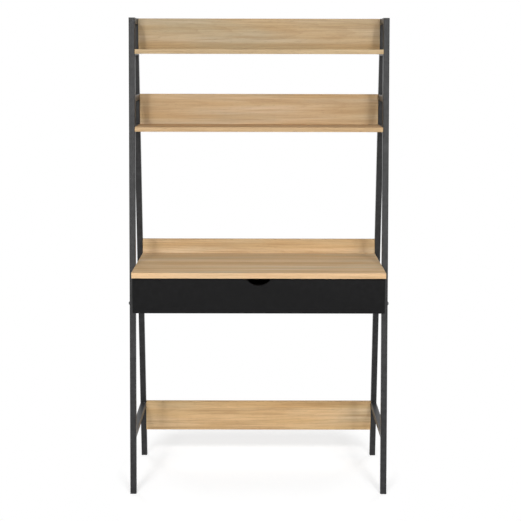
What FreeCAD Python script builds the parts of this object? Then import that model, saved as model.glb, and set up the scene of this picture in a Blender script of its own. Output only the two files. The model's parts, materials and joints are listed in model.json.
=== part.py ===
"""Ladder desk: two leaning tube frames that carry two shelves, a desktop with a drawer and a stretcher.

Millimetres. X runs across the desk, the front faces -Y, Z is up, and the origin is at the middle of
the footprint on the floor. Parts on the left are modelled; their twins on the right are mirrored.
"""

import FreeCAD, Part
import os
import re
import Sketcher
from FreeCAD import Rotation, Vector

# Driving sizes: name, value, what it is
SIZES = [
    ("overall_width", 850, "across the outer faces of the legs"),
    ("overall_height", 1563, "floor to the top of the legs"),
    ("base_depth", 429, "front foot to rear foot on the floor"),
    ("front_lean", 140, "how far the front leg leans back over its height"),
    ("rear_lean", 155, "how far the rear leg leans forward over its height"),
    ("tube_size", 20, "side of the square tube"),
    ("tube_wall", 1.5, "wall of the square tube"),
    ("tube_corner", 2, "outer corner radius of the tube"),
    ("foot_height", 3, "foot pad under the tube"),
    ("cap_height", 2, "cap on the tube's upper end"),
    ("plug_depth", 14, "stem of a foot or cap inside the tube"),
    ("plug_gap", 0.2, "gap between the stem and the tube's bore"),
    ("low_rail_top", 203, "top of the rail near the floor"),
    ("board_thickness", 15, "shelves, back panels and stretcher"),
    ("edge_round", 1, "rounding of the boards' long edges"),
    ("back_panel_height", 102, "back panel above its shelf"),
    ("shelf_spacing", 252, "top face of the lower shelf below that of the top shelf"),
    ("shelf_proud", 6, "shelf edge ahead of the front leg"),
    ("desktop_top", 757, "top face of the desktop"),
    ("desktop_thickness", 18, "desktop board"),
    ("desk_overhang", 73, "desktop edge ahead of the front feet"),
    ("desk_panel_height", 49, "desk back panel above the desktop"),
    ("stretcher_low", 100, "lower edge of the stretcher board"),
    ("stretcher_height", 105, "stretcher board"),
    ("housing_thickness", 15, "side panels and rear board round the drawer"),
    ("housing_height", 118, "side panels below the desktop"),
    ("housing_leg_gap", 4, "rear board to the rear leg"),
    ("drawer_setback", 10, "drawer front behind the desktop edge"),
    ("drawer_reveal", 3, "drawer front short of the legs' inner faces, each side"),
    ("drawer_top_gap", 3, "slot between the desktop and the drawer front"),
    ("drawer_front_lift", 3, "drawer front above the side panels' lower edge"),
    ("drawer_front_thickness", 15, "drawer front"),
    ("drawer_front_gap", 2, "drawer front to the side panels"),
    ("drawer_back_gap", 15, "drawer box to the rear board"),
    ("notch_width", 79, "finger notch along the top edge"),
    ("notch_depth", 21.5, "finger notch below the top edge"),
    ("drawer_board", 12, "drawer sides and back"),
    ("drawer_rise", 16, "drawer sides above the side panels' lower edge"),
    ("drawer_head_gap", 18, "drawer sides below the desktop"),
    ("drawer_base", 4, "drawer bottom panel"),
    ("groove_depth", 6, "groove for the bottom panel"),
    ("groove_rise", 12, "groove above the drawer side's lower edge"),
    ("groove_gap", 0.3, "play of the bottom panel in its groove"),
    ("runner_space", 12.5, "drawer side to side panel"),
    ("runner_sheet", 1.2, "sheet steel of the runners"),
    ("runner_inset", 2, "runner behind the side panel's front edge"),
    ("runner_back_gap", 11, "runner to the rear board"),
    ("runner_lip", 10, "lips of the fixed runner"),
    ("runner_mouth", 40, "front stretch with no upper lip"),
    ("flange_reach", 10, "drawer runner's upper flange"),
    ("flange_tuck", 11, "drawer runner's flange under the drawer side"),
    ("flange_play", 0.8, "flange below the upper lip"),
    ("roller_diameter", 16, "runner roller"),
    ("roller_width", 5.5, "runner roller"),
    ("roller_inset", 14, "roller from the runner's end"),
    ("roller_clear", 1, "fixed roller above its own lower lip"),
    ("roller_side", 0.5, "roller beside the runner that carries it"),
    ("running_gap", 0.3, "gap between moving pieces"),
    ("pin_diameter", 5, "roller pin"),
    ("pin_fit", 0.05, "play of the roller on its pin, on the radius"),
    ("pin_head", 8, "riveted head of the pin"),
    ("pin_head_height", 1, "riveted head of the pin"),
    ("bolt_diameter", 6, "housing bolt shank"),
    ("bolt_head", 12, "housing bolt head"),
    ("bolt_crown", 8, "flat top of the bolt head"),
    ("bolt_rim", 1, "straight rim of the bolt head"),
    ("bolt_head_height", 3.3, "housing bolt head"),
    ("bolt_socket", 4, "hexagon across the flats"),
    ("bolt_socket_depth", 2, "hexagon socket"),
    ("bolt_bite", 11, "bolt inside the side panel"),
    ("bolt_edge", 11, "bolt above the side panel's lower edge"),
    ("hole_gap", 0.2, "hole larger than its bolt, on the radius"),
    ("hole_spare", 1, "blind hole deeper than its bolt"),
    ("bracket_leg", 16, "angle bracket under the desktop"),
    ("bracket_sheet", 2, "angle bracket"),
    ("bracket_width", 22, "angle bracket"),
    ("lug_reach", 18, "lug beyond the tube that it is welded to"),
    ("lug_width", 18, "lug along the tube"),
    ("lug_clip", 4, "clipped corners of the lug"),
    ("lug_sheet", 2.5, "lug, and the depth of its seat in a shelf"),
    ("lug_play", 0.3, "seat in a shelf wider than its lug, each side"),
    ("cut_overrun", 5, "how far a cut runs past the piece"),
]
# Places along a piece, as shares of its length
shelf_lug_shares = (0.25, 0.75)
panel_lug_share = 0.3
bracket_shares = (-0.3, 0.28)

ALIASES = {name for name, size, note in SIZES}
NEAR = 1e-4

doc = FreeCAD.newDocument("LadderDesk")
sheet = doc.addObject("Spreadsheet::Sheet", "Sizes")
for row, (name, size, note) in enumerate(SIZES, 1):
    sheet.set(f"A{row}", name)
    sheet.set(f"B{row}", str(size))
    sheet.set(f"C{row}", note)
    sheet.setAlias(f"B{row}", name)
doc.recompute()
nodes = []


# Sizes and expressions

def formula(text):
    """Point each size named in a formula at its cell."""
    def cell(word):
        return f"Sizes.{word.group()}" if word.group() in ALIASES else word.group()
    return re.sub(r"[a-z_]+", cell, text)


def value(text):
    return float(sheet.evalExpression(formula(text)))


def bind(thing, prop, text):
    thing.setExpression(prop, formula(text))


def place(thing, x, y, z):
    for axis, text in zip("xyz", (x, y, z)):
        bind(thing, f"Placement.Base.{axis}", text)


def node(thing, label):
    thing.Label = label
    nodes.append(thing)
    return thing


def mirror(source, label):
    """The twin of a left part, on the right."""
    twin = doc.addObject("Part::Mirroring", label)
    twin.Source = source
    twin.Normal = Vector(1, 0, 0)
    return node(twin, label)


# Sketches and features

def origin_plane(body, role):
    return next(item for item in body.Origin.OriginFeatures if item.Role == role)


def sketch_on(body, role, offset=None):
    sketch = body.newObject("Sketcher::SketchObject", "Sketch")
    sketch.AttachmentSupport = (origin_plane(body, role), [""])
    sketch.MapMode = "FlatFace"
    if offset:
        bind(sketch, "AttachmentOffset.Base.z", offset)
    return sketch


def pin_point(sketch, geometry, point, u, v):
    """Fix a point of the sketch at two formulas."""
    for kind, axis, text in (("DistanceX", -2, u), ("DistanceY", -1, v)):
        if text == "0":
            sketch.addConstraint(Sketcher.Constraint("PointOnObject", geometry, point, axis))
            continue
        size = value(text)
        index = sketch.addConstraint(Sketcher.Constraint(kind, -1, 1, geometry, point, size))
        name = f"{kind}_{index}"
        sketch.renameConstraint(index, name)
        bind(sketch, f"Constraints.{name}", text)


def add_polygon(sketch, points):
    first = sketch.GeometryCount
    count = len(points)
    corners = [Vector(value(u), value(v), 0) for u, v in points]
    for i in range(count):
        sketch.addGeometry(Part.LineSegment(corners[i], corners[(i + 1) % count]), False)
    for i in range(count):
        after = first + (i + 1) % count
        sketch.addConstraint(Sketcher.Constraint("Coincident", first + i, 2, after, 1))
    for i, (u, v) in enumerate(points):
        pin_point(sketch, first + i, 1, u, v)


def add_rectangle(sketch, left, right, low, high):
    add_polygon(sketch, [(left, low), (right, low), (right, high), (left, high)])


def add_circle(sketch, u, v, diameter):
    centre = Vector(value(u), value(v), 0)
    circle = Part.Circle(centre, Vector(0, 0, 1), value(diameter) / 2)
    index = sketch.addGeometry(circle, False)
    pin_point(sketch, index, 3, u, v)
    size = sketch.addConstraint(Sketcher.Constraint("Diameter", index, value(diameter)))
    sketch.renameConstraint(size, f"Diameter_{size}")
    bind(sketch, f"Constraints.Diameter_{size}", diameter)


def pad(body, sketch, length, symmetric=False):
    feature = body.newObject("PartDesign::Pad", "Pad")
    feature.Profile = sketch
    bind(feature, "Length", length)
    if symmetric:
        feature.SideType = "Symmetric"
    return feature


def pocket(body, sketch, depth=None):
    """Cut a sketch to a depth below its plane, or right through the piece."""
    feature = body.newObject("PartDesign::Pocket", "Pocket")
    feature.Profile = sketch
    if depth:
        bind(feature, "Length", depth)
    else:
        feature.Type = "ThroughAll"
        feature.SideType = "Symmetric"
    return feature


def bore(body, role, spots, diameter, depth=None, offset=None, reverse=False):
    """Round holes square to a plane of the body, right through or to a depth from the offset."""
    sketch = sketch_on(body, role, offset)
    for u, v in spots:
        add_circle(sketch, u, v, diameter)
    feature = pocket(body, sketch, depth)
    feature.Reversed = reverse
    return feature


def round_edges(body, base, radius, names):
    """Round the named edges of a feature."""
    feature = body.newObject("PartDesign::Fillet", "Fillet")
    feature.Base = (base, names)
    bind(feature, "Radius", radius)


def bevel_all(body, base, size):
    """Bevel every edge of a feature."""
    doc.recompute()
    feature = body.newObject("PartDesign::Chamfer", "Chamfer")
    feature.Base = (base, ["Edge1"])
    feature.UseAllEdges = True
    bind(feature, "Size", size)


def edges_along(base, along, outer_only=False):
    """The edges that run one way: all of them, or only those on the left and right faces."""
    doc.recompute()
    box = base.Shape.BoundBox
    names = []
    for number, edge in enumerate(base.Shape.Edges, 1):
        course = edge.Vertexes[-1].Point - edge.Vertexes[0].Point
        middle = edge.CenterOfMass
        outer = min(middle.x - box.XMin, box.XMax - middle.x) < NEAR
        parallel = course.normalize().cross(along).Length < NEAR
        if parallel and (outer or not outer_only):
            names.append(f"Edge{number}")
    return names


def new_body(name):
    return doc.addObject("PartDesign::Body", name)


def board(label, role, size_u, size_v, thickness, centre, rounded=False):
    """A flat board centred on its own origin, square to one of its planes; its long edges can be rounded."""
    body = new_body(label)
    sketch = sketch_on(body, role)
    half_u, half_v = f"({size_u}) / 2", f"({size_v}) / 2"
    add_rectangle(sketch, f"-{half_u}", half_u, f"-{half_v}", half_v)
    slab = pad(body, sketch, thickness, symmetric=True)
    if rounded:
        round_edges(body, slab, "edge_round", edges_along(slab, Vector(1, 0, 0)))
    place(body, *centre)
    return node(body, label)


# Lines of the side frames

inner_half = "(overall_width / 2 - tube_size)"
inner_width = "(overall_width - 2 * tube_size)"
front_run = "(tube_size * sqrt(1 + (front_lean / overall_height)^2))"
rear_run = "(tube_size * sqrt(1 + (rear_lean / overall_height)^2))"
front_edge = "(-(desk_overhang + base_depth) / 2)"
leg_middle = "(overall_width / 2 - tube_size / 2)"


def front_face(z):
    """Front face of the front leg at a height."""
    return f"((desk_overhang - base_depth) / 2 + front_lean * ({z}) / overall_height)"


def front_back(z):
    return f"({front_face(z)} + {front_run})"


def rear_face(z):
    """Front face of the rear leg at a height."""
    return f"((desk_overhang + base_depth) / 2 - {rear_run} - rear_lean * ({z}) / overall_height)"


def rear_axis(z):
    return f"({rear_face(z)} + {rear_run} / 2)"


top_shelf_top = "(overall_height - back_panel_height)"
lower_shelf_top = f"({top_shelf_top} - shelf_spacing)"
lower_panel_top = f"({lower_shelf_top} + back_panel_height)"
desk_under = "(desktop_top - desktop_thickness)"
bolt_hole = "(bolt_diameter + 2 * hole_gap)"

# Upright boards between the rear legs: name, lower edge, upper edge
uprights = {
    "top_back_panel": (f"({top_shelf_top} - board_thickness)", "overall_height"),
    "lower_back_panel": (f"({lower_shelf_top} - board_thickness)", lower_panel_top),
    "desk_back_panel": (desk_under, "(desktop_top + desk_panel_height)"),
    "rear_stretcher": ("stretcher_low", "(stretcher_low + stretcher_height)"),
}


# Shelves: name, top face and the upright board behind
shelves = {
    "top_shelf": (top_shelf_top, "top_back_panel"),
    "lower_shelf": (lower_shelf_top, "lower_back_panel"),
}


def upright_middle(name):
    low, high = uprights[name]
    return f"(({low} + {high}) / 2)"


def upright_y(name):
    """An upright board stands on the rear legs' axis at its own mid height."""
    return rear_axis(upright_middle(name))


def upright_front(name):
    return f"({upright_y(name)} - board_thickness / 2)"


housing_low = f"({desk_under} - housing_height)"
housing_bolt_z = f"({housing_low} + bolt_edge)"
housing_bolt_ys = [f"({front_face(housing_bolt_z)} + {front_run} / 2)", rear_axis(housing_bolt_z)]


# Legs, feet and caps

def leaning_bar(body, lean, run, low, high, insets):
    """Pad a square section up a leg's slope; a second inset makes it a tube."""
    sketch = sketch_on(body, "XY_Plane", low)
    shift = f"({lean}) * ({low}) / overall_height"
    for inset in insets:
        add_rectangle(sketch, inset, f"tube_size - {inset}",
                      f"{shift} + {inset}", f"{shift} + {run} - {inset}")
    bar = pad(body, sketch, f"{high} - ({low})")
    bar.UseCustomVector = True
    bar.AlongSketchNormal = True
    bar.Direction = Vector(0, value(lean), value("overall_height"))
    bind(bar, "Direction.y", lean)
    bind(bar, "Direction.z", "overall_height")
    return bar


def plug(label, lean, run, face, low, high, stem_low, stem_high):
    """A foot or cap: a pad that closes the tube's end, with a stem inside the tube."""
    body = new_body(label)
    block = leaning_bar(body, lean, run, low, high, ["0"])
    round_edges(body, block, "tube_corner", edges_along(block, slope_of(lean), outer_only=True))
    leaning_bar(body, lean, run, stem_low, stem_high, ["(tube_wall + plug_gap)"])
    place(body, "-overall_width / 2", face("0"), "0")
    node(body, f"left_{label}")
    mirror(body, f"right_{label}")


def slope_of(lean):
    return Vector(0, value(lean), value("overall_height")).normalize()


def leg(end, lean, run, face, bolt_y):
    """A leaning tube, bored through for its housing bolt, with its foot and cap."""
    tube_end = "(overall_height - cap_height)"
    tube = new_body(f"{end}_leg")
    bar = leaning_bar(tube, lean, run, "foot_height", tube_end, ["0", "tube_wall"])
    round_edges(tube, bar, "tube_corner", edges_along(bar, slope_of(lean), outer_only=True))
    bore(tube, "YZ_Plane", [(f"{bolt_y} - {face('0')}", housing_bolt_z)], bolt_hole)
    place(tube, "-overall_width / 2", face("0"), "0")
    node(tube, f"left_{end}_leg")
    mirror(tube, f"right_{end}_leg")
    plug(f"{end}_foot", lean, run, face, "0", "foot_height", "foot_height", "(foot_height + plug_depth)")
    plug(f"{end}_cap", lean, run, face, tube_end, "overall_height", f"({tube_end} - plug_depth)", tube_end)


leg("front", "front_lean", front_run, front_face, housing_bolt_ys[0])
leg("rear", "-rear_lean", rear_run, rear_face, housing_bolt_ys[1])


# Side rails, mitred to the slope of the legs

def rail(label, top):
    low = f"({top} - tube_size)"
    body = new_body(label)
    sketch = sketch_on(body, "YZ_Plane")
    add_polygon(sketch, [(front_back(low), "0"), (rear_face(low), "0"),
                         (rear_face(top), "tube_size"), (front_back(top), "tube_size")])
    bar = pad(body, sketch, "tube_size", symmetric=True)
    round_edges(body, bar, "tube_corner", edges_along(bar, Vector(0, 1, 0)))
    section = sketch_on(body, "XZ_Plane")
    half_bore = "(tube_size / 2 - tube_wall)"
    add_rectangle(section, f"-{half_bore}", half_bore, "tube_wall", "tube_size - tube_wall")
    pocket(body, section)
    place(body, f"-{leg_middle}", "0", low)
    node(body, f"left_{label}")
    mirror(body, f"right_{label}")


rail("top_rail", "overall_height")
rail("top_shelf_rail", top_shelf_top)
rail("guard_rail", lower_panel_top)
rail("lower_shelf_rail", lower_shelf_top)
rail("low_rail", "low_rail_top")


# Upright boards, shelves and desktop

def upright(label):
    """An upright board between the rear legs."""
    low, high = uprights[label]
    board(label, "XZ_Plane", inner_width, f"{high} - {low}", "board_thickness",
          ("0", upright_y(label), upright_middle(label)), rounded=True)


def flat_board(label, front, top, thickness, panel):
    """A shelf or desktop, from its front edge back to the upright board."""
    back = upright_front(panel)
    return board(label, "XY_Plane", inner_width, f"({back} - {front})", thickness,
                 ("0", f"({back} + {front}) / 2", f"{top} - {thickness} / 2"), rounded=True)


def lug_outline(root, gap):
    """Clipped plate that points along +u from its root, wider than a lug by a gap on each free side."""
    tip, half = f"(lug_reach + {gap})", f"(lug_width / 2 + {gap})"
    return [(root, f"-{half}"), (f"{tip} - lug_clip", f"-{half}"), (tip, f"-{half} + lug_clip"),
            (tip, f"{half} - lug_clip"), (f"{tip} - lug_clip", half), (root, half)]


def shelf_lug_ys(top, panel):
    """Places of the lugs along a shelf's end, between the front leg and the upright board."""
    start, end = front_back(f"({top} - board_thickness)"), upright_front(panel)
    return [f"({start} + ({end} - {start}) * {share})" for share in shelf_lug_shares]


def shelf(label, top, panel):
    """A shelf with a seat milled for each lug in its underside."""
    front = f"({front_face(top)} - shelf_proud)"
    body = flat_board(label, front, top, "board_thickness", panel)
    middle = f"(({upright_front(panel)} + {front}) / 2)"
    seats = sketch_on(body, "XY_Plane", "-board_thickness / 2")
    for y in shelf_lug_ys(top, panel):
        for end in (f"-{inner_half} + ", f"{inner_half} - "):
            outline = lug_outline("(-cut_overrun)", "lug_play")
            add_polygon(seats, [(f"{end}({u})", f"{y} - {middle} + ({v})") for u, v in outline])
    pocket(body, seats, "lug_sheet").Reversed = True


for name in uprights:
    upright(name)
for name, (top, panel) in shelves.items():
    shelf(name, top, panel)
flat_board("desktop", front_edge, "desktop_top", "desktop_thickness", "desk_back_panel")


# Housing round the drawer

housing_half = f"({inner_half} - housing_thickness)"
drawer_start = f"({front_edge} + drawer_setback + drawer_front_thickness)"
housing_front = f"({drawer_start} + drawer_front_gap)"
housing_rear = f"({rear_axis(housing_bolt_z)} + {rear_run} / 2)"
housing_length = f"({housing_rear} - {housing_front})"
housing_y = f"(({housing_rear} + {housing_front}) / 2)"
housing_z = f"({desk_under} - housing_height / 2)"
rear_board_face = f"({rear_face(desk_under)} - housing_leg_gap - housing_thickness)"
rear_board_y = f"({rear_board_face} + housing_thickness / 2)"
bracket_ys = [f"({housing_y} + {housing_length} * {share})" for share in bracket_shares]

drawer_low = f"({housing_low} + drawer_rise)"
runner_start = f"({housing_front} + runner_inset)"
runner_end = f"({rear_board_face} - runner_back_gap)"
runner_length = f"({runner_end} - {runner_start})"
runner_y = f"(({runner_end} + {runner_start}) / 2)"
runner_height = "(3 * runner_sheet + roller_clear + roller_diameter + running_gap + flange_play)"
runner_low = f"({drawer_low} - runner_sheet)"

side = board("left_housing_side", "YZ_Plane", housing_length, "housing_height", "housing_thickness",
             (f"-({inner_half} - housing_thickness / 2)", housing_y, housing_z))
bore(side, "YZ_Plane", [(f"{y} - {housing_y}", f"{housing_bolt_z} - {housing_z}") for y in housing_bolt_ys],
     bolt_hole, "bolt_bite + hole_spare", "-housing_thickness / 2", reverse=True)
mirror(side, "right_housing_side")
board("housing_rear_board", "XZ_Plane", f"2 * {housing_half}", "housing_height", "housing_thickness",
      ("0", rear_board_y, housing_z))


# Runners and their rollers

def rivet(body, start, reach, y, z, head_first):
    """A roller pin between two planes, with its head at one end."""
    shank = sketch_on(body, "YZ_Plane", start)
    add_circle(shank, y, z, "pin_diameter")
    pad(body, shank, reach)
    head_start = f"({start} - pin_head_height)" if head_first else f"({start} + {reach})"
    head = sketch_on(body, "YZ_Plane", head_start)
    add_circle(head, y, z, "pin_head")
    pad(body, head, "pin_head_height")


def roller(label, x, y, z):
    """A nylon roller, turning about X."""
    body = new_body(label)
    sketch = sketch_on(body, "XY_Plane")
    add_rectangle(sketch, "0", "roller_width", "(pin_diameter / 2 + pin_fit)", "(roller_diameter / 2)")
    turn = body.newObject("PartDesign::Revolution", "Revolution")
    turn.Profile = sketch
    turn.ReferenceAxis = (sketch, ["H_Axis"])
    place(body, x, y, z)
    node(body, f"left_{label}")
    mirror(body, f"right_{label}")


pin_reach = "(roller_side + roller_width + running_gap)"
fixed_roller_y = f"(-{runner_length} / 2 + roller_inset)"
fixed_roller_z = "(runner_sheet + roller_clear + roller_diameter / 2)"
fixed = new_body("left_fixed_runner")
section = sketch_on(fixed, "XZ_Plane")
inside_top = f"({runner_height} - runner_sheet)"
add_polygon(section, [("0", "0"), ("runner_lip", "0"), ("runner_lip", "runner_sheet"),
                      ("runner_sheet", "runner_sheet"), ("runner_sheet", inside_top),
                      ("runner_lip", inside_top), ("runner_lip", runner_height), ("0", runner_height)])
pad(fixed, section, runner_length, symmetric=True)
mouth = sketch_on(fixed, "YZ_Plane")
add_rectangle(mouth, f"-{runner_length} / 2 - cut_overrun", f"-{runner_length} / 2 + runner_mouth",
              inside_top, f"{runner_height} + cut_overrun")
pocket(fixed, mouth)
rivet(fixed, "runner_sheet", pin_reach, fixed_roller_y, fixed_roller_z, head_first=False)
place(fixed, f"-{housing_half}", runner_y, runner_low)
node(fixed, "left_fixed_runner")
mirror(fixed, "right_fixed_runner")
roller("fixed_roller", f"-{housing_half} + runner_sheet + roller_side",
       f"{runner_y} + {fixed_roller_y}", f"{runner_low} + {fixed_roller_z}")

drawer_end = f"({rear_board_face} - drawer_back_gap)"
drawer_length = f"({drawer_end} - {drawer_start})"
drawer_y = f"(({drawer_end} + {drawer_start}) / 2)"
slide_length = f"({drawer_length} - drawer_front_gap)"
slide_y = f"(({drawer_end} + {drawer_start} + drawer_front_gap) / 2)"
slide_roller_y = f"({slide_length} / 2 - roller_inset)"
slide_roller_z = "(running_gap + roller_diameter / 2)"
web = "(runner_space - runner_sheet)"
flange_low = "(roller_clear + roller_diameter + running_gap)"
flange_top = f"({flange_low} + runner_sheet)"
slide = new_body("left_drawer_runner")
section = sketch_on(slide, "XZ_Plane")
add_polygon(section, [("runner_space - flange_reach", flange_low), (web, flange_low),
                      (web, "-runner_sheet"), ("runner_space + flange_tuck", "-runner_sheet"),
                      ("runner_space + flange_tuck", "0"), ("runner_space", "0"),
                      ("runner_space", flange_top), ("runner_space - flange_reach", flange_top)])
pad(slide, section, slide_length, symmetric=True)
rivet(slide, f"({web} - {pin_reach})", pin_reach, slide_roller_y, slide_roller_z, head_first=True)
place(slide, f"-{housing_half}", slide_y, drawer_low)
node(slide, "left_drawer_runner")
mirror(slide, "right_drawer_runner")
roller("drawer_roller", f"-{housing_half} + {web} - roller_side - roller_width",
       f"{slide_y} + {slide_roller_y}", f"{drawer_low} + {slide_roller_z}")


# Drawer

drawer_half = f"({housing_half} - runner_space)"
drawer_inner = f"(2 * ({drawer_half} - drawer_board))"
drawer_side_height = "(housing_height - drawer_rise - drawer_head_gap)"
drawer_side_z = f"({drawer_low} + {drawer_side_height} / 2)"
base_low = f"({drawer_low} + groove_rise)"
base_top = f"({base_low} + drawer_base)"
tongue = "(groove_depth - groove_gap)"
groove_high = f"({base_top} + groove_gap)"
front_height = "(housing_height - drawer_top_gap - drawer_front_lift)"
front_z = f"({desk_under} - drawer_top_gap - {front_height} / 2)"
notch_radius = "((notch_width^2 / 4 + notch_depth^2) / (2 * notch_depth))"

front = new_body("drawer_front")
outline = sketch_on(front, "XZ_Plane")
front_half = f"({inner_half} - drawer_reveal)"
add_rectangle(outline, f"-{front_half}", front_half, f"-{front_height} / 2", f"{front_height} / 2")
pad(front, outline, "drawer_front_thickness", symmetric=True)
notch = bore(front, "XZ_Plane", [("0", f"{front_height} / 2 + {notch_radius} - notch_depth")],
             f"2 * {notch_radius}")
bevel_all(front, notch, "edge_round")
groove = sketch_on(front, "XZ_Plane", "-drawer_front_thickness / 2")
groove_half = f"({drawer_inner} / 2 + groove_depth)"
add_rectangle(groove, f"-{groove_half}", groove_half, f"{base_low} - {front_z}", f"{groove_high} - {front_z}")
pocket(front, groove, "groove_depth").Reversed = True
place(front, "0", f"{drawer_start} - drawer_front_thickness / 2", front_z)
node(front, "drawer_front")

side = board("left_drawer_side", "YZ_Plane", drawer_length, drawer_side_height, "drawer_board",
             (f"-({drawer_half} - drawer_board / 2)", drawer_y, drawer_side_z))
groove = sketch_on(side, "XZ_Plane")
add_rectangle(groove, "drawer_board / 2 - groove_depth", "drawer_board / 2 + cut_overrun",
              f"{base_low} - {drawer_side_z}", f"{groove_high} - {drawer_side_z}")
pocket(side, groove)
mirror(side, "right_drawer_side")

back_height = f"({drawer_low} + {drawer_side_height} - {base_top})"
board("drawer_back", "XZ_Plane", drawer_inner, back_height, "drawer_board",
      ("0", f"{drawer_end} - drawer_board / 2", f"{base_top} + {back_height} / 2"))
board("drawer_bottom", "XY_Plane", f"{drawer_inner} + 2 * {tongue}", f"{drawer_length} + {tongue}",
      "drawer_base",
      ("0", f"({drawer_end} + {drawer_start} - {tongue}) / 2", f"{base_low} + drawer_base / 2"))


# Bolts, brackets and lugs: each kind is modelled once, and a group places its copies

HEAD_LEFT = Rotation(Vector(0, 1, 0), -90)
LEVEL = Rotation()
UPRIGHT = Rotation(Vector(1, 0, 0), 90)


def group(label, kind, turn, spots):
    """Copies of one piece on the left, all turned alike, and their twins on the right."""
    copies = []
    for spot in spots:
        copy = doc.addObject("App::Link", "Copy")
        copy.LinkedObject = kind
        copy.Placement = FreeCAD.Placement(Vector(), turn)
        place(copy, *spot)
        copies.append(copy)
    bundle = doc.addObject("Part::Compound", label)
    bundle.Links = copies
    node(bundle, f"left_{label}")
    mirror(bundle, f"right_{label}")


bolt = new_body("housing_bolt")
shank, rim, crown = "bolt_diameter / 2", "bolt_head / 2", "bolt_crown / 2"
bolt_tip = "-(tube_size + bolt_bite)"
outline = sketch_on(bolt, "XZ_Plane")
add_polygon(outline, [("0", "bolt_head_height"), (crown, "bolt_head_height"), (rim, "bolt_rim"), (rim, "0"),
                      (shank, "0"), (shank, bolt_tip), ("0", bolt_tip)])
turn = bolt.newObject("PartDesign::Revolution", "Revolution")
turn.Profile = outline
turn.ReferenceAxis = (outline, ["V_Axis"])
half_flat = "(bolt_socket / 2)"
half_corner = "(bolt_socket / (2 * sqrt(3)))"
full_corner = "(bolt_socket / sqrt(3))"
socket = sketch_on(bolt, "XY_Plane", "bolt_head_height")
add_polygon(socket, [(half_flat, half_corner), ("0", full_corner), (f"-{half_flat}", half_corner),
                     (f"-{half_flat}", f"-{half_corner}"), ("0", f"-{full_corner}"),
                     (half_flat, f"-{half_corner}")])
pocket(bolt, socket, "bolt_socket_depth")
group("housing_bolts", bolt, HEAD_LEFT, [("-overall_width / 2", y, housing_bolt_z) for y in housing_bolt_ys])

angle = new_body("desk_bracket")
profile = sketch_on(angle, "XZ_Plane")
add_polygon(profile, [("0", "-bracket_leg"), ("bracket_sheet", "-bracket_leg"),
                      ("bracket_sheet", "-bracket_sheet"), ("bracket_leg", "-bracket_sheet"),
                      ("bracket_leg", "0"), ("0", "0")])
pad(angle, profile, "bracket_width", symmetric=True)
group("desk_brackets", angle, LEVEL, [(f"-{housing_half}", y, desk_under) for y in bracket_ys])

lug = new_body("lug")
plate = sketch_on(lug, "XY_Plane")
add_polygon(plate, lug_outline("0", "0"))
pad(lug, plate, "lug_sheet").Reversed = True


def shelf_lug_spots(top, panel):
    """Flush in the underside of a shelf."""
    return [(f"-{inner_half}", y, f"{top} - board_thickness + lug_sheet") for y in shelf_lug_ys(top, panel)]


def panel_lug_spot(name):
    """Behind an upright board, low enough to stay on the leaning leg's inner face."""
    low, high = uprights[name]
    return (f"-{inner_half}", f"{upright_front(name)} + board_thickness",
            f"{low} + ({high} - {low}) * {panel_lug_share}")


shelf_lugs = [spot for row in shelves.values() for spot in shelf_lug_spots(*row)]
group("shelf_lugs", lug, LEVEL, shelf_lugs)
group("panel_lugs", lug, UPRIGHT, [panel_lug_spot(name) for name in uprights])


# Test every object, then write one file for each node

doc.recompute()
faults = [thing.Name for thing in doc.Objects if {"Invalid", "Error"} & set(thing.State)]
faults += [thing.Label for thing in nodes if thing.Shape.isNull() or not thing.Shape.isValid()]
if faults:
    raise RuntimeError(f"faulty objects: {faults}")
os.makedirs("parts", exist_ok=True)
for thing in nodes:
    thing.Shape.exportStep(f"parts/{thing.Label}.step")
print(len(nodes), "nodes,", sum(len(thing.Shape.Solids) for thing in nodes), "solids")
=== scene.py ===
import json
import math

import bmesh
import bpy
from mathutils import Matrix, Vector


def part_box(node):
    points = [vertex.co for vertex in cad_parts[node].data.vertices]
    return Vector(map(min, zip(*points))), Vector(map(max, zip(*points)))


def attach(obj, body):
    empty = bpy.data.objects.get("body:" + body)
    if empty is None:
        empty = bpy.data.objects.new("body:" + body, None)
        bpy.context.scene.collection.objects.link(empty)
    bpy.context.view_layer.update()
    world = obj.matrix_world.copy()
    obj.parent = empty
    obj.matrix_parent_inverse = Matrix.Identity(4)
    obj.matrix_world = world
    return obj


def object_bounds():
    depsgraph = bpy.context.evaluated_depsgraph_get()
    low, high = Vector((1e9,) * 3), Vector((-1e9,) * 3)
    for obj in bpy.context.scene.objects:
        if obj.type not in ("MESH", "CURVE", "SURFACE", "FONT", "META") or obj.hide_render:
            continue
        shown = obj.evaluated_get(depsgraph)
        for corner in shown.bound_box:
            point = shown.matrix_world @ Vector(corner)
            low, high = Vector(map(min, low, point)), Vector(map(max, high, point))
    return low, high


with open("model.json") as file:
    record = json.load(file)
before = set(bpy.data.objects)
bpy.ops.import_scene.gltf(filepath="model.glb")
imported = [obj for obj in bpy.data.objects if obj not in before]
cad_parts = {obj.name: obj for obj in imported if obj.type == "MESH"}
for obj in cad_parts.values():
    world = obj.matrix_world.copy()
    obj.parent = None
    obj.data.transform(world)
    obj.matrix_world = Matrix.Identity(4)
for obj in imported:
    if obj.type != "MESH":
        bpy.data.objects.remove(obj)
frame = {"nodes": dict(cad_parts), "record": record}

CAD_LOW, CAD_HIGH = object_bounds()
NODES = frame["nodes"]
SLOT_OF = {row["node"]: row["material_slot"] for row in frame["record"]["subparts"]}
SCENE = bpy.context.scene
MM = 0.001
SIDES = {"left": -1, "right": 1}
X, Y, Z = range(3)
DOWN, BACK, FORE = (0, 0, -1), (0, 1, 0), (0, -1, 0)
WHITE = (1.0, 1.0, 1.0, 1.0)


# Colours and node trees


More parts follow.
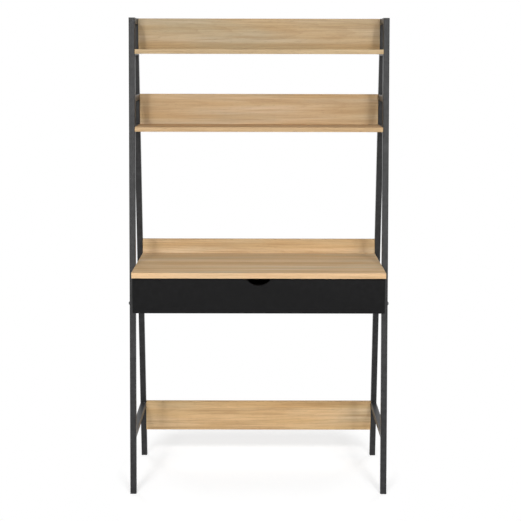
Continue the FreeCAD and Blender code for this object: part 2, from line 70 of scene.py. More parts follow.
def srgb(tone, factors=(1.0, 1.0, 1.0)):
    """A tone in display levels from 0 to 255, times a factor for each, as the linear colour of a socket."""
    levels = [level * factor / 255 for level, factor in zip(tone, factors)]
    linear = [c / 12.92 if c <= 0.04045 else ((c + 0.055) / 1.055) ** 2.4 for c in levels]
    return (*linear, 1.0)


def scaled(colour, factor=1.0):
    """A linear colour made lighter or darker, as a socket takes it."""
    return (*[c * factor for c in colour], 1.0)


class Nodes:
    """A node tree, made a node at a time. An input is a value or another node's output."""

    def __init__(self, tree):
        self.tree = tree
        tree.nodes.clear()

    def add(self, kind, inputs=None, **settings):
        made = self.tree.nodes.new(kind)
        for key, value in settings.items():
            setattr(made, key, value)
        for key, value in (inputs or {}).items():
            if isinstance(value, bpy.types.NodeSocket):
                self.tree.links.new(value, made.inputs[key])
            else:
                made.inputs[key].default_value = value
        return made

    def maths(self, operation, first, second=0.0):
        return self.add("ShaderNodeMath", {0: first, 1: second}, operation=operation).outputs[0]

    def fit(self, value, span, to=(0.0, 1.0)):
        """The value carried from one span to another, and held at its ends."""
        inputs = {"Value": value, "From Min": span[0], "From Max": span[1], "To Min": to[0], "To Max": to[1]}
        return self.add("ShaderNodeMapRange", inputs).outputs[0]

    def seen(self):
        """1 for rays from the eye, also by way of gloss or a clear piece, and 0 for the rest."""
        ray = self.add("ShaderNodeLightPath").outputs
        mirrored = self.maths("MAXIMUM", ray["Is Camera Ray"], ray["Is Glossy Ray"])
        return self.maths("MAXIMUM", mirrored, ray["Is Transmission Ray"])


class Finish(Nodes):
    """A material, with patterns that are placed by the shared frame, in metres."""

    def __init__(self, name):
        self.material = bpy.data.materials.new(name)
        self.material.use_nodes = True
        super().__init__(self.material.node_tree)
        self.place = self.add("ShaderNodeTexCoord").outputs["Object"]

    def surface(self, measure):
        """The normal or another measure of the surface itself."""
        return self.add("ShaderNodeNewGeometry").outputs[measure]

    def split(self, vector):
        return self.add("ShaderNodeSeparateXYZ", {0: vector}).outputs

    def stretch(self, vector, scale):
        return self.add("ShaderNodeMapping", {"Vector": vector, "Scale": scale}).outputs[0]

    def noise(self, vector, scale, detail=3.0, roughness=0.5, warp=0.0):
        inputs = {"Vector": vector, "Scale": scale, "Detail": detail, "Roughness": roughness,
                  "Distortion": warp}
        return self.add("ShaderNodeTexNoise", inputs).outputs[0]

    def streaks(self, vector, along, across, detail, roughness, warp):
        """Noise drawn out along x."""
        return self.noise(self.stretch(vector, (along, across, across)), 1.0, detail, roughness, warp)

    def choose(self, factor, first, second):
        """One vector or the other. A Mix node has vectors at inputs 4 and 5 and output 1."""
        inputs = {0: factor, 4: first, 5: second}
        return self.add("ShaderNodeMix", inputs, data_type="VECTOR").outputs[1]

    def mix(self, factor, first, second, mode="MIX"):
        """A mix of two colours. A Mix node has colours at inputs 6 and 7 and output 2."""
        inputs = {0: factor, 6: first, 7: second}
        return self.add("ShaderNodeMix", inputs, data_type="RGBA", blend_type=mode).outputs[2]

    def shade(self, colour, factor):
        """The colour made lighter or darker by a factor that varies."""
        grey = self.add("ShaderNodeCombineColor", {0: factor, 1: factor, 2: factor}).outputs[0]
        return self.mix(1.0, colour, grey, "MULTIPLY")

    def ramp(self, factor, stops):
        made = self.add("ShaderNodeValToRGB", {"Fac": factor})
        points = made.color_ramp.elements
        while len(points) < len(stops):
            points.new(0.5)
        for point, (position, colour) in zip(points, stops):
            point.position = position
            point.color = colour
        return made.outputs[0]

    def close(self, colour, roughness, height, depth, strength, constants):
        """Ends the material in one bumped shader. The constants are sockets that stay the same all over."""
        bump = self.add("ShaderNodeBump", {"Height": height, "Distance": depth, "Strength": strength})
        inputs = {"Base Color": colour, "Roughness": roughness, "Normal": bump.outputs[0], **constants}
        shader = self.add("ShaderNodeBsdfPrincipled", inputs)
        self.add("ShaderNodeOutputMaterial", {"Surface": shader.outputs[0]})
        return self.material


# Oak laminate

# Patterns from coarse to fine: scale along and across the grain, detail, roughness, warp
DRIFT = (0.8, 25.0, 3.0, 0.5, 0.4)
HUE = (2.0, 13.0, 2.0, 0.5, 0.5)
BROAD = (2.6, 75.0, 3.0, 0.55, 0.6)
STREAK = (5.0, 320.0, 4.0, 0.6, 0.1)
FIBRE = (16.0, 850.0, 3.0, 0.6, 0.0)
PORE = (48.0, 1500.0, 2.0, 0.5, 0.0)
# How far each step of the seed moves a board's patterns
SEED_MOVE = (0.37, 0.53, 0.29)

# Growth rings, which the wave texture sets WAVE_PITCH apart at a scale of 1
RING_SPACING = 7 * MM
WAVE_PITCH = math.pi / 10
RING_STRETCH = (0.12, 1.0, 1.0)
RING_WARP = {"Distortion": 6.0, "Detail": 3.0, "Detail Scale": 0.8, "Detail Roughness": 0.55}
# The heart that they go round lies under the board, tilted by a few degrees. Steps from seed to seed move it
# along, aside and deeper, and make it steeper.
HEART_ALONG = 110 * MM
HEART_ASIDE = 12 * MM
HEART_DEPTH, HEART_DEEPER = 28 * MM, 6 * MM
HEART_TILT, HEART_STEEPER = 2.1, 0.5

# Tints, as factors on a board's own tone
PALER = (1.035, 1.05, 1.09)
TANNER = (0.955, 0.93, 0.885)
LATE_WOOD = (0.79, 0.71, 0.61)
# Drifts of hue, as factors on its linear colour
GREYER = (0.91, 1.01, 1.13)
REDDER = (1.03, 0.96, 0.87)

# The values of a pattern between which it comes in, and how strongly it then shows
DRIFT_STOPS = (0.39, 0.50, 0.61)
GREY_BAND, RED_BAND, HUE_SHARE = (0.38, 0.50), (0.50, 0.62), 0.6
BROAD_BAND, BROAD_SHARE = (0.46, 0.72), 0.36
STREAK_BAND, STREAK_SHARE = (0.50, 0.68), 0.26
RING_BAND, RING_SHARE = (0.62, 1.0), 0.18
PALE_STREAK_BAND, PALE_STREAK_SHADE = (0.32, 0.50), 1.07
FIBRE_BAND, FIBRE_SHADES = (0.25, 0.75), (0.95, 1.05)
PORE_BAND, PORE_SHADE = (0.60, 0.68), 0.78
# How strongly a front edge takes its lighter tone, painted light on the face that looks to the lamps
LIT_EDGE_SHARE = 0.75
# A face looks along an axis where its normal's part on that axis is over this
FACING = 0.7

OAK_ROUGHNESS_BAND, OAK_ROUGHNESS = (0.3, 0.7), (0.76, 0.64)
OAK_SPECULAR = 0.12
OAK_RELIEF = 0.15 * MM
OAK_RELIEF_STRENGTH = 0.5
FIBRE_RELIEF = 0.4

# Each board's tone, how strong its figure is, and the seed that moves its grain. The tones differ from board
# to board as real boards do, and they also hold painted light: they grow lighter from the top boards down to
# the stretcher, where more light falls low, and the lower shelf's tone is darkened for painted shade under
# the top shelf. A flat board has a lighter tone on its front edge, painted light on the face that looks to
# the lamps.
BOARDS = {
    "top_back_panel": dict(upright=True, tone=(187, 164, 130), figure=0.9, seed=3),
    "top_shelf": dict(upright=False, tone=(186, 164, 133), lit_edge_tone=(201, 175, 136), figure=1.0, seed=7),
    "lower_back_panel": dict(upright=True, tone=(195, 169, 134), figure=1.0, seed=4),
    "lower_shelf": dict(upright=False, tone=(195, 161, 120), lit_edge_tone=(199, 170, 131), figure=1.0, seed=11),
    "desk_back_panel": dict(upright=True, tone=(201, 174, 136), figure=1.5, seed=5),
    "desktop": dict(upright=False, tone=(206, 178, 139), lit_edge_tone=(227, 190, 147), figure=1.0, seed=2),
    "rear_stretcher": dict(upright=True, tone=(212, 179, 134), figure=1.7, seed=9),
}


def heart_of(node, upright, seed):
    """Where the heart of the stem lies by a board, and how it leans, different for each seed."""
    low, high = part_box(node)
    along = HEART_ALONG * (seed % 3 - 1)
    aside = HEART_ASIDE * (seed % 5 - 2)
    under = HEART_DEPTH + HEART_DEEPER * (seed % 4)
    tilt = math.radians(HEART_TILT + HEART_STEEPER * (seed % 3))
    if upright:
        return (low + high) / 2 + Vector((along, under, aside)), (0.0, 0.0, tilt)
    return (low + high) / 2 + Vector((along, aside, -under)), (0.0, tilt, 0.0)


def growth_rings(wood, grain, heart, lean):
    inputs = {"Vector": grain, "Location": heart, "Rotation": lean}
    stem = wood.add("ShaderNodeMapping", inputs, vector_type="TEXTURE").outputs[0]
    inputs = {"Vector": wood.stretch(stem, RING_STRETCH), "Scale": WAVE_PITCH / RING_SPACING, **RING_WARP}
    return wood.add("ShaderNodeTexWave", inputs, wave_type="RINGS", rings_direction="X",
                    wave_profile="SAW").outputs["Fac"]


def oak(node, upright, tone, figure, seed, lit_edge_tone=None):
    """Light oak laminate: growth rings under streaks, fibres and pores.

    The grain runs along the board on its faces and long edges, and along the edge band on its ends.
    """
    wood = Finish("oak_" + node)
    normal = wood.split(wood.surface("Normal"))
    at_end = wood.maths("GREATER_THAN", wood.maths("ABSOLUTE", normal[X]), FACING)
    place = wood.split(wood.place)
    turned = wood.add("ShaderNodeCombineXYZ", {X: place[Y], Y: place[X], Z: place[Z]}).outputs[0]
    grain = wood.choose(at_end, wood.place, turned)
    moves = [step * seed for step in SEED_MOVE]
    moved = wood.add("ShaderNodeMapping", {"Vector": grain, "Location": moves}).outputs[0]
    patterns = (DRIFT, HUE, BROAD, STREAK, FIBRE, PORE)
    drift, hue, broad, streak, fibre, pore = [wood.streaks(moved, *pattern) for pattern in patterns]
    rings = growth_rings(wood, grain, *heart_of(node, upright, seed))
    pores = wood.fit(pore, PORE_BAND)

    late = srgb(tone, LATE_WOOD)
    colour = wood.ramp(drift, list(zip(DRIFT_STOPS, (srgb(tone, PALER), srgb(tone), srgb(tone, TANNER)))))
    colour = wood.mix(wood.fit(hue, GREY_BAND, (HUE_SHARE, 0.0)), colour, scaled(GREYER), "MULTIPLY")
    colour = wood.mix(wood.fit(hue, RED_BAND, (0.0, HUE_SHARE)), colour, scaled(REDDER), "MULTIPLY")
    # Painted light: the front edge of a flat board takes a lighter tone than its top
    if lit_edge_tone:
        lit_front = wood.maths("GREATER_THAN", wood.maths("MULTIPLY", normal[Y], -1.0), FACING)
        colour = wood.mix(wood.maths("MULTIPLY", lit_front, LIT_EDGE_SHARE), colour, srgb(lit_edge_tone))
    colour = wood.mix(wood.fit(broad, BROAD_BAND, (0.0, BROAD_SHARE * figure)), colour, late)
    colour = wood.mix(wood.fit(streak, STREAK_BAND, (0.0, STREAK_SHARE * figure)), colour, late)
    colour = wood.mix(wood.fit(rings, RING_BAND, (0.0, RING_SHARE)), colour, late)
    colour = wood.shade(colour, wood.fit(streak, PALE_STREAK_BAND, (PALE_STREAK_SHADE, 1.0)))
    colour = wood.shade(colour, wood.fit(fibre, FIBRE_BAND, FIBRE_SHADES))
    colour = wood.shade(colour, wood.fit(pores, (0.0, 1.0), (1.0, PORE_SHADE)))
    roughness = wood.fit(streak, OAK_ROUGHNESS_BAND, OAK_ROUGHNESS)
    height = wood.maths("SUBTRACT", wood.maths("MULTIPLY", fibre, FIBRE_RELIEF), pores)
    return wood.close(colour, roughness, height, OAK_RELIEF, OAK_RELIEF_STRENGTH,
                      {"Specular IOR Level": OAK_SPECULAR})


# Coatings, plastics and plated steel

# The middle values of a noise
NOISE_BAND = (0.3, 0.7)
# Pointiness from a flat face to a sharp edge, and the patches along such an edge where its painted highlight
# shows
EDGE_BAND = (0.53, 0.62)
HIGHLIGHT_PATCH_SCALE, HIGHLIGHT_PATCH_BAND, HIGHLIGHT_PATCH_SHARES = 60.0, (0.35, 0.7), (0.2, 1.0)
PATCH_CONTRAST = 0.06
# The middle values of two noises added up, and how far the roughness swings with them
COAT_BAND = (0.6, 1.4)
COAT_SWING = 0.05
COAT_RELIEF_STRENGTH = 0.6

ROLLING_SCALE = (900.0, 6.0, 900.0)
ROLLING_RELIEF, ROLLING_RELIEF_STRENGTH = 0.02 * MM, 0.4
SPANGLE_SHARE = 0.6
PLATED_BAND = (0.2, 0.8)
PLATED_SWING = 0.07

NYLON_TONES = ((219, 217, 208), (233, 231, 224))
NYLON_CLOUD_SCALE = 240.0
TURNING_SCALE = (2400.0, 200.0, 200.0)
TURNING_RELIEF, TURNING_RELIEF_STRENGTH = 0.03 * MM, 0.4
NYLON_ROUGHNESS = (0.36, 0.48)
NYLON_SPECULAR = 0.4


def coated(name, level, highlight_level, patch_scale, grain_scale, grain_depth, roughness, specular):
    """Dark coated or moulded surface: fine even grain, faint patches, and a painted highlight on its sharp
    edges, in patches.
    """
    coat = Finish(name)
    cloud = coat.noise(coat.place, patch_scale, roughness=0.55)
    grain = coat.noise(coat.place, grain_scale, detail=2.0, roughness=0.6)
    highlight_patches = coat.fit(coat.noise(coat.place, HIGHLIGHT_PATCH_SCALE, detail=4.0, roughness=0.6), HIGHLIGHT_PATCH_BAND, HIGHLIGHT_PATCH_SHARES)
    # Painted highlight: sharp edges are made lighter in patches, standing in for the light they catch
    edge_highlight = coat.maths("MULTIPLY", coat.fit(coat.surface("Pointiness"), EDGE_BAND), highlight_patches)
    dark, light = scaled(level, 1 - PATCH_CONTRAST), scaled(level, 1 + PATCH_CONTRAST)
    colour = coat.mix(coat.fit(cloud, NOISE_BAND), dark, light)
    colour = coat.mix(edge_highlight, colour, scaled(highlight_level))
    rough = coat.fit(coat.maths("ADD", cloud, grain), COAT_BAND,
                     (roughness - COAT_SWING, roughness + COAT_SWING))
    return coat.close(colour, rough, grain, grain_depth, COAT_RELIEF_STRENGTH,
                      {"Specular IOR Level": specular})


def plated(name, tint, spangle_scale, contrast, roughness):
    """Zinc-coated steel with crystal spangle and rolling marks."""
    zinc = Finish(name)
    cells = zinc.add("ShaderNodeTexVoronoi", {"Vector": zinc.place, "Scale": spangle_scale}).outputs["Color"]
    spangle = zinc.add("ShaderNodeSeparateColor", {0: cells}).outputs[0]
    marks = zinc.noise(zinc.stretch(zinc.place, ROLLING_SCALE), 1.0, roughness=0.6)
    tone = zinc.maths("ADD", zinc.maths("MULTIPLY", spangle, SPANGLE_SHARE),
                      zinc.maths("MULTIPLY", marks, 1 - SPANGLE_SHARE))
    colour = zinc.mix(tone, scaled(tint, 1 - contrast), scaled(tint, 1 + contrast))
    rough = zinc.fit(tone, PLATED_BAND, (roughness + PLATED_SWING, roughness - PLATED_SWING))
    return zinc.close(colour, rough, marks, ROLLING_RELIEF, ROLLING_RELIEF_STRENGTH, {"Metallic": 1.0})


def nylon(name):
    """Pale moulded nylon with faint turning marks round the axle."""
    resin = Finish(name)
    cloud = resin.noise(resin.place, NYLON_CLOUD_SCALE)
    turning = resin.noise(resin.stretch(resin.place, TURNING_SCALE), 1.0, detail=2.0)
    colour = resin.mix(resin.fit(cloud, NOISE_BAND), *[srgb(tone) for tone in NYLON_TONES])
    rough = resin.fit(turning, NOISE_BAND, NYLON_ROUGHNESS)
    return resin.close(colour, rough, turning, TURNING_RELIEF, TURNING_RELIEF_STRENGTH,
                       {"Specular IOR Level": NYLON_SPECULAR})


SLOT_FINISH = {
    "frame_steel": coated("powder_coat", level=(0.0084, 0.0085, 0.0087), highlight_level=(0.028, 0.028, 0.029),
                          patch_scale=7.0, grain_scale=1100.0, grain_depth=0.05 * MM, roughness=0.39,
                          specular=0.25),
    "black_board": coated("black_laminate", level=(0.0060, 0.0060, 0.0062), highlight_level=(0.012, 0.012, 0.0125),
                          patch_scale=11.0, grain_scale=1500.0, grain_depth=0.05 * MM, roughness=0.62,
                          specular=0.08),
    "drawer_board": coated("black_foil", level=(0.014, 0.014, 0.0145), highlight_level=(0.025, 0.025, 0.026),
                           patch_scale=9.0, grain_scale=1800.0, grain_depth=0.04 * MM, roughness=0.52,
                           specular=0.25),
    "black_plastic": coated("moulded_plastic", level=(0.019, 0.019, 0.0195), highlight_level=(0.035, 0.035, 0.036),
                            patch_scale=40.0, grain_scale=2600.0, grain_depth=0.05 * MM, roughness=0.5,
                            specular=0.4),
    "black_steel": plated("black_zinc", tint=(0.075, 0.075, 0.08), spangle_scale=700.0, contrast=0.18,
                          roughness=0.36),
    "runner_steel": plated("galvanised_sheet", tint=(0.56, 0.57, 0.58), spangle_scale=260.0, contrast=0.10,
                           roughness=0.36),
    "nylon": nylon("natural_nylon"),
}
BRIGHT_ZINC = plated("bright_zinc", tint=(0.66, 0.66, 0.64), spangle_scale=900.0, contrast=0.08,
                     roughness=0.27)

for node, shape in NODES.items():
    made = oak(node, **BOARDS[node]) if node in BOARDS else SLOT_FINISH[SLOT_OF[node]]
    for place in shape.material_slots:
        place.material = made


# Meshes of new pieces

# Degrees between two faces over which their edge stays sharp
SMOOTH_ANGLE = 35
MERGE_DISTANCE = 0.001 * MM
SORT_DIGITS = 5


def to_mesh(bm, name):
    bmesh.ops.recalc_face_normals(bm, faces=bm.faces)
    mesh = bpy.data.meshes.new(name)
    bm.to_mesh(mesh)
    bm.free()
    return mesh


def new_piece(name, bm, finish, body, smooth_angle=SMOOTH_ANGLE):
    mesh = to_mesh(bm, name)
    for face in mesh.polygons:
        face.use_smooth = True
    mesh.set_sharp_from_angle(angle=math.radians(smooth_angle))
    mesh.materials.append(finish)
    piece = bpy.data.objects.new(name, mesh)
    SCENE.collection.objects.link(piece)
    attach(piece, body)


def turned_mesh(profile, sides):
    """A closed turned solid from (radius, height) points in millimetres, the first and last on the axis."""
    bm = bmesh.new()
    turns = [2 * math.pi * k / sides for k in range(sides)]
    rows = []
    for radius, height in profile:
        row = [(radius * MM * math.cos(a), radius * MM * math.sin(a), height * MM)
               for a in (turns if radius else turns[:1])]
        rows.append([bm.verts.new(point) for point in row])
    for lower, upper in zip(rows, rows[1:]):
        for k in range(sides):
            after = (k + 1) % sides
            if len(lower) == 1:
                bm.faces.new((lower[0], upper[after], upper[k]))
            elif len(upper) == 1:
                bm.faces.new((lower[k], lower[after], upper[0]))
            else:
                bm.faces.new((lower[k], lower[after], upper[after], upper[k]))
    return to_mesh(bm, "turned")


def islands(node):
    """The boxes of the separate solids in a node, sorted by their lowest corners."""
    bm = bmesh.new()
    bm.from_mesh(NODES[node].data)
    bmesh.ops.remove_doubles(bm, verts=bm.verts, dist=MERGE_DISTANCE)
    left = set(bm.verts)
    boxes = []
    while left:
        front = [left.pop()]
        found = list(front)
        while front:
            here = front.pop()
            for edge in here.link_edges:
                other = edge.other_vert(here)
                if other in left:
                    left.remove(other)
                    found.append(other)
                    front.append(other)
        low = Vector([min(vertex.co[axis] for vertex in found) for axis in (X, Y, Z)])
        high = Vector([max(vertex.co[axis] for vertex in found) for axis in (X, Y, Z)])
        boxes.append((low, high))
    bm.free()
    return sorted(boxes, key=lambda pair: tuple(round(c, SORT_DIGITS) for c in pair[0]))


# Heads of screws, cam locks and bumpers

# Outlines in millimetres, as (radius, height above the seat)
PAN_PROFILE = [(0, -0.4), (3.7, -0.4), (4.0, 0.0), (4.0, 0.8), (3.7, 1.5), (3.0, 1.95), (1.9, 2.15), (0, 2.2)]
FLUSH_PROFILE = [(0, -0.6), (3.6, -0.6), (4.0, 0.0), (4.0, 0.25), (3.7, 0.5), (0, 0.62)]
CAM_PROFILE = [(0, -0.5), (7.2, -0.5), (7.5, 0.0), (7.5, 0.45), (7.1, 0.8), (5.6, 0.8), (5.2, 0.45),
               (0, 0.45)]
BUMPER_PROFILE = [(0, -0.3), (4.3, -0.3), (4.5, 0.0), (4.3, 0.6), (3.6, 1.15), (2.4, 1.5), (1.2, 1.64),
                  (0, 1.68)]
HEAD_SIDES, CAM_SIDES = 24, 32
# How much a cross recess narrows at its floor and widens at its top
RECESS_FLOOR_SHARE, RECESS_TOP_SHARE = 0.72, 1.12
# Turn of the first head of a group, and from one to the next
FIRST_TURN, NEXT_TURN = 0.3, 0.7


def cross_mesh(reach, width, floor, top):
    """A cross-shaped cutter that narrows downwards."""
    bm = bmesh.new()
    half = width / 2
    outline = [(half, half), (half, reach), (-half, reach), (-half, half), (-reach, half), (-reach, -half),
               (-half, -half), (-half, -reach), (half, -reach), (half, -half), (reach, -half), (reach, half)]
    low = [bm.verts.new((RECESS_FLOOR_SHARE * x, RECESS_FLOOR_SHARE * y, floor)) for x, y in outline]
    high = [bm.verts.new((RECESS_TOP_SHARE * x, RECESS_TOP_SHARE * y, top)) for x, y in outline]
    bm.faces.new(low)
    bm.faces.new(high)
    for k in range(len(outline)):
        after = (k + 1) % len(outline)
        bm.faces.new((low[k], low[after], high[after], high[k]))
    return to_mesh(bm, "cross")


def cut(solid, cutter):
    """The first mesh with the second cut out of it."""
    whole = bpy.data.objects.new("whole", solid)
    tool = bpy.data.objects.new("tool", cutter)
    for part in (whole, tool):
        SCENE.collection.objects.link(part)
    work = whole.modifiers.new("cut", "BOOLEAN")
    work.object = tool
    work.operation = "DIFFERENCE"
    work.solver = "EXACT"
    bpy.context.view_layer.update()
    done = bpy.data.meshes.new_from_object(whole.evaluated_get(bpy.context.evaluated_depsgraph_get()))
    for part in (whole, tool):
        bpy.data.objects.remove(part)
    return done


def recessed_head(profile, sides, reach, width, floor, top):
    """A turned head with a cross recess. All sizes are in millimetres."""
    return cut(turned_mesh(profile, sides), cross_mesh(reach * MM, width * MM, floor * MM, top * MM))


def scatter(name, head, look, body, spots):
    """One piece with a copy of a head at each (point, outward direction)."""
    finish, slot = look
    bm = bmesh.new()
    for index, (point, outward) in enumerate(spots):
        aim = Vector((0, 0, 1)).rotation_difference(Vector(outward)).to_matrix().to_4x4()
        spin = Matrix.Rotation(NEXT_TURN * index + FIRST_TURN, 4, "Z")
        copy = head.copy()
        copy.transform(Matrix.Translation(point) @ aim @ spin)
        bm.from_mesh(copy)
        bpy.data.meshes.remove(copy)
    new_piece(name, bm, finish, body)


PAN = recessed_head(PAN_PROFILE, HEAD_SIDES, reach=2.3, width=1.1, floor=0.9, top=3.0)
FLUSH = recessed_head(FLUSH_PROFILE, HEAD_SIDES, reach=2.2, width=1.1, floor=-0.45, top=1.4)
CAM = recessed_head(CAM_PROFILE, CAM_SIDES, reach=3.4, width=1.5, floor=-0.3, top=1.6)
BUMPER = turned_mesh(BUMPER_PROFILE, HEAD_SIDES)
# Finish and material slot
BLACK = (SLOT_FINISH["black_steel"], "black_steel")
BRIGHT = (BRIGHT_ZINC, "runner_steel")
PLASTIC = (SLOT_FINISH["black_plastic"], "black_plastic")


# Where the heads sit

# Shares of the way through the box of a piece
PANEL_SHARES = (0.08, 0.5, 0.92)
HOUSING_SHARES = (0.2, 0.5, 0.8)
RUNNER_SHARES = (0.18, 0.5, 0.86)
SLIDE_SHARES = (0.12, 0.5, 0.88)
CORNER_SHARES = (0.3, 0.75)
CAM_SHARES = (0.36, 0.78)
BUMPER_SHARES = (0.16, 0.84)
BASE_SHARES = (0.1, 0.3, 0.5, 0.7, 0.9)
# Sheet thicknesses, the screws' distance from the middle of a bracket, and the locks' from the drawer's front
BRACKET_SHEET = 2 * MM
RUNNER_SHEET = 1.2 * MM
BRACKET_OFFSET = 1 * MM
CAM_SETBACK = 26 * MM
PANEL_OF_SHELF = {
    "top_shelf": "top_back_panel",
    "lower_shelf": "lower_back_panel",
    "desktop": "desk_back_panel",
}


def part_way(node, axis, share=0.5):
    """A coordinate that share of the way through a node's box."""
    low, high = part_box(node)
    return low[axis] + share * (high[axis] - low[axis])


def face_x(node, way):
    """The x of a node's face on the side that way points to."""
    low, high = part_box(node)
    return high.x if way > 0 else low.x


def lug_spots(side):
    """Below each shelf lug and behind each panel lug."""
    spots = []
    for low, high in islands(side + "_shelf_lugs"):
        middle = (low + high) / 2
        spots.append(((middle.x, middle.y, low.z), DOWN))
    for low, high in islands(side + "_panel_lugs"):
        middle = (low + high) / 2
        spots.append(((middle.x, high.y, middle.z), BACK))
    return spots


def bracket_spots(side, way):
    """On both legs of each angle bracket, a little away from its bend."""
    web = face_x(side + "_housing_side", -way) - way * BRACKET_SHEET
    spots = []
    for low, high in islands(side + "_desk_brackets"):
        middle = (low + high) / 2
        spots.append(((web, middle.y, middle.z - BRACKET_OFFSET), (-way, 0, 0)))
        spots.append(((middle.x - way * BRACKET_OFFSET, middle.y, high.z - BRACKET_SHEET), DOWN))
    return spots


scatter("panel_screws", FLUSH, BLACK, "frame",
        [((part_way("desktop", X, share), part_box(panel)[1].y, part_way(shelf, Z)), BACK)
         for shelf, panel in PANEL_OF_SHELF.items() for share in PANEL_SHARES])

for side, way in SIDES.items():
    outward, inward = (way, 0, 0), (-way, 0, 0)
    housing = side + "_housing_side"
    runner = side + "_fixed_runner"
    slide = side + "_drawer_runner"
    board = side + "_drawer_side"

    scatter(side + "_lug_screws", FLUSH, BLACK, "frame", lug_spots(side))
    scatter(side + "_housing_screws", FLUSH, BLACK, "frame",
            [((face_x(housing, way), part_way("housing_rear_board", Y), part_way(housing, Z, share)), outward)
             for share in HOUSING_SHARES])
    scatter(side + "_bracket_screws", PAN, BRIGHT, "frame", bracket_spots(side, way))
    web = face_x(runner, way) - way * RUNNER_SHEET
    scatter(side + "_runner_screws", FLUSH, BRIGHT, "frame",
            [((web, part_way(runner, Y, share), part_way(runner, Z)), inward) for share in RUNNER_SHARES])
    flange = (face_x(slide, -way) + face_x(board, way)) / 2
    scatter(side + "_slide_screws", PAN, BRIGHT, "drawer",
            [((flange, part_way(slide, Y, share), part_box(slide)[0].z), DOWN) for share in SLIDE_SHARES])
    scatter(side + "_drawer_corner_screws", FLUSH, BLACK, "drawer",
            [((face_x(board, way), part_way("drawer_back", Y), part_way("drawer_back", Z, share)), outward)
             for share in CORNER_SHARES])
    scatter(side + "_cam_locks", CAM, BRIGHT, "drawer",
            [((face_x(board, -way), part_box(board)[0].y + CAM_SETBACK, part_way(board, Z, share)), inward)
             for share in CAM_SHARES])
    scatter(side + "_bumpers", BUMPER, PLASTIC, "frame",
            [((part_way(housing, X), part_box(housing)[0].y, part_way(housing, Z, share)), FORE)
             for share in BUMPER_SHARES])

scatter("drawer_base_screws", FLUSH, BRIGHT, "drawer",
        [((part_way("desktop", X, share), part_way("drawer_back", Y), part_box("drawer_bottom")[0].z), DOWN)
         for share in BASE_SHARES])


# Weld beads round the ends of the side rails

RAILS = ("top_rail", "top_shelf_rail", "guard_rail", "lower_shelf_rail", "low_rail")
BEAD_RADIUS = 1.5 * MM
BEAD_STEP = 1.4 * MM
BEAD_SIDES = 8
BEAD_SMOOTH_ANGLE = 60
# How far a bead without ripples keeps inside the rail's sides, and its middle stands out above and below
BEAD_INSET = 0.05 * MM
BEAD_PROUD = 0.1 * MM
# How far from the leg its middle lies
BEAD_SETBACK = 0.5 * MM
# How far below the top of a top rail its bead stops, which leaves that face clean
BEAD_STOP = 4 * MM
# Ripples of the radius: size, pace along the bead, start
BEAD_RIPPLES = ((0.09, 1.9, 0.0), (0.05, 0.61, 1.0))
# Points this far from the middle of a rail belong to its lower or its upper edge
EDGE_REACH = 5 * MM


def rail_end(rail, front):
    """Where a rail ends in y, at its lower and at its upper edge."""
    middle = part_way(rail, Z)
    pick = min if front else max
    points = [vertex.co for vertex in NODES[rail].data.vertices]
    lower = pick(point.y for point in points if point.z < middle - EDGE_REACH)
    upper = pick(point.y for point in points if point.z > middle + EDGE_REACH)
    return lower, upper


def bead_outline(low, high, open_top):
    """Points in x and z round a rail's section, evenly spaced."""
    inset = BEAD_RADIUS + BEAD_INSET
    left, right = low.x + inset, high.x - inset
    bottom, top, stop = low.z - BEAD_PROUD, high.z + BEAD_PROUD, high.z - BEAD_STOP
    if open_top:
        corners = [(left, stop), (left, bottom), (right, bottom), (right, stop)]
    else:
        corners = [(left, bottom), (right, bottom), (right, top), (left, top), (left, bottom)]
    points = []
    for (x0, z0), (x1, z1) in zip(corners, corners[1:]):
        steps = round(math.hypot(x1 - x0, z1 - z0) / BEAD_STEP)
        points += [(x0 + (x1 - x0) * k / steps, z0 + (z1 - z0) * k / steps) for k in range(steps)]
    if open_top:
        points.append(corners[-1])
    return points


def add_bead(bm, rail, front):
    """A rippled bead where a rail meets its leg."""
    low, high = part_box(rail)
    lower, upper = rail_end(rail, front)
    open_top = rail.endswith("_top_rail")
    lean = (upper - lower) / (high.z - low.z)
    start_y = lower + (BEAD_SETBACK if front else -BEAD_SETBACK)
    outline = bead_outline(low, high, open_top)
    spots = [Vector((x, start_y + lean * (z - low.z), z)) for x, z in outline]
    normal = Vector((0, 1, -lean)).normalized()
    turns = [2 * math.pi * s / BEAD_SIDES for s in range(BEAD_SIDES)]
    last = len(spots) - 1
    rows = []
    for k, spot in enumerate(spots):
        before, after = spots[k - 1], spots[(k + 1) % len(spots)]
        if open_top:
            before, after = spots[max(k - 1, 0)], spots[min(k + 1, last)]
        aside = (after - before).normalized().cross(normal)
        ripple = sum(size * math.sin(pace * k + start) for size, pace, start in BEAD_RIPPLES)
        radius = BEAD_RADIUS * (1 + ripple)
        row = [spot + radius * (math.cos(a) * normal + math.sin(a) * aside) for a in turns]
        rows.append([bm.verts.new(point) for point in row])
    following = rows[1:] if open_top else rows[1:] + rows[:1]
    for first, second in zip(rows, following):
        for s in range(BEAD_SIDES):
            t = (s + 1) % BEAD_SIDES
            bm.faces.new((first[s], first[t], second[t], second[s]))
    if open_top:
        bm.faces.new(rows[0])
        bm.faces.new(rows[last])


for side in SIDES:
    beads = bmesh.new()
    for rail in RAILS:
        for front in (True, False):
            add_bead(beads, f"{side}_{rail}", front)
    new_piece(side + "_weld_beads", beads, SLOT_FINISH["frame_steel"], "frame",
              BEAD_SMOOTH_ANGLE)


# Floor

FLOOR_HALF = 30.0
FLOOR_CELLS = 4
# Near the desk the eye sees a grey that takes the shadows, lifted towards white
FLOOR_SHADE = 0.57
FLOOR_LIFT = 0.575
# It clears to plain white between these distances from the middle, and sooner along x
FLOOR_CLEAR = (0.72, 0.86)
FLOOR_NARROWING = (1.72, 1.0, 1.0)
# The grey that light bounces off to the desk
FLOOR_LEVEL = 0.45


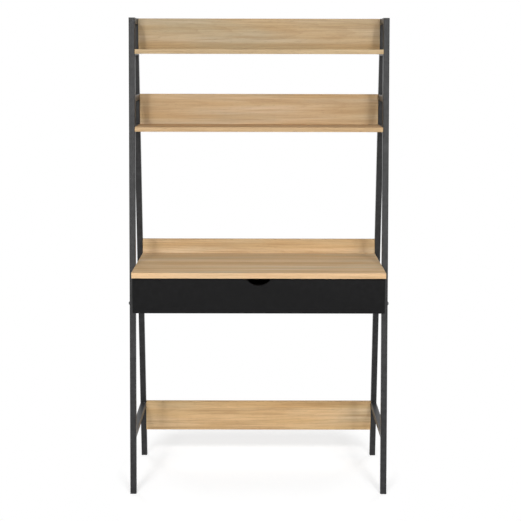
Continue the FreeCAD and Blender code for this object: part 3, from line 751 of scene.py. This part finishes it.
def floor_finish():
    """Pale floor that keeps the desk's shadow and is white further out."""
    ground = Finish("studio_floor")

    def matt(level):
        return ground.add("ShaderNodeBsdfDiffuse", {"Color": (level, level, level, 1.0)}).outputs[0]

    def glow(strength):
        return ground.add("ShaderNodeEmission", {"Color": WHITE, "Strength": strength}).outputs[0]

    near = ground.add("ShaderNodeAddShader", {0: matt(FLOOR_SHADE), 1: glow(FLOOR_LIFT)}).outputs[0]
    oval = ground.stretch(ground.place, FLOOR_NARROWING)
    reach = ground.add("ShaderNodeVectorMath", {0: oval}, operation="LENGTH").outputs["Value"]
    far = ground.fit(reach, FLOOR_CLEAR)
    shown = ground.add("ShaderNodeMixShader", {0: far, 1: near, 2: glow(1.0)}).outputs[0]
    both = ground.add("ShaderNodeMixShader", {0: ground.seen(), 1: matt(FLOOR_LEVEL), 2: shown}).outputs[0]
    ground.add("ShaderNodeOutputMaterial", {"Surface": both})
    return ground.material


floor_bm = bmesh.new()
bmesh.ops.create_grid(floor_bm, x_segments=FLOOR_CELLS, y_segments=FLOOR_CELLS, size=FLOOR_HALF)
floor_mesh = bpy.data.meshes.new("floor")
floor_bm.to_mesh(floor_mesh)
floor_bm.free()
floor_mesh.materials.append(floor_finish())
floor = bpy.data.objects.new("floor", floor_mesh)
floor.location.z = CAD_LOW.z
SCENE.collection.objects.link(floor)


# Light

AMBIENT = 0.27
# Lamps on the right, with twins on the left: place, aim, width, height, power in watts, spread in degrees
SOFTBOXES = {
    "key": ((1.6, -5.2, 4.4), (0, 0, 0.15), 1.3, 1.3, 18, 70),
    "back": ((3.0, 4.6, 2.0), (0, 0, 0.9), 1.5, 2.0, 66, 180),
    "strip": ((1.35, -5.0, 1.65), (0, 0, 0.9), 0.35, 1.9, 56, 180),
}


def studio_world():
    """White to the eye, and a dimmer light from all round."""
    world = bpy.data.worlds.new("studio")
    world.use_nodes = True
    sky = Nodes(world.node_tree)
    strength = sky.fit(sky.seen(), (0.0, 1.0), (AMBIENT, 1.0))
    background = sky.add("ShaderNodeBackground", {"Color": WHITE, "Strength": strength})
    sky.add("ShaderNodeOutputWorld", {"Surface": background.outputs[0]})
    return world


def softbox(name, place, aim, width, height, power, spread):
    lamp = bpy.data.lights.new(name, "AREA")
    lamp.shape = "RECTANGLE"
    lamp.size = width
    lamp.size_y = height
    lamp.energy = power
    lamp.spread = math.radians(spread)
    made = bpy.data.objects.new(name, lamp)
    made.location = place
    made.rotation_euler = (Vector(aim) - Vector(place)).to_track_quat("-Z", "Y").to_euler()
    SCENE.collection.objects.link(made)


SCENE.world = studio_world()
for side, way in SIDES.items():
    for kind, ((aside, ahead, height), *rest) in SOFTBOXES.items():
        softbox(f"{kind}_{side}", (way * aside, ahead, height), *rest)


# Camera, fitted to the corners of the photographed desk. Angles are in radians.

CAMERA_PLACE = (-0.0011, -4.2095, 1.4529)
CAMERA_YAW = 0.00162
CAMERA_PITCH = 0.14341
CAMERA_ROLL = 0.00187
CAMERA_LENS = 87.38
CAMERA_SENSOR = 36.0
CAMERA_SHIFT = -0.05

eye = bpy.data.cameras.new("camera")
eye.lens = CAMERA_LENS
eye.sensor_width = CAMERA_SENSOR
eye.shift_y = CAMERA_SHIFT
camera = bpy.data.objects.new("camera", eye)
SCENE.collection.objects.link(camera)
heading = Matrix.Rotation(-CAMERA_YAW, 4, "Z") @ Matrix.Rotation(math.pi / 2 - CAMERA_PITCH, 4, "X")
camera.matrix_world = Matrix.Translation(CAMERA_PLACE) @ heading @ Matrix.Rotation(CAMERA_ROLL, 4, "Z")
bpy.context.scene.camera = camera
bpy.context.scene.view_settings.view_transform = "Standard"

bpy.context.view_layer.update()
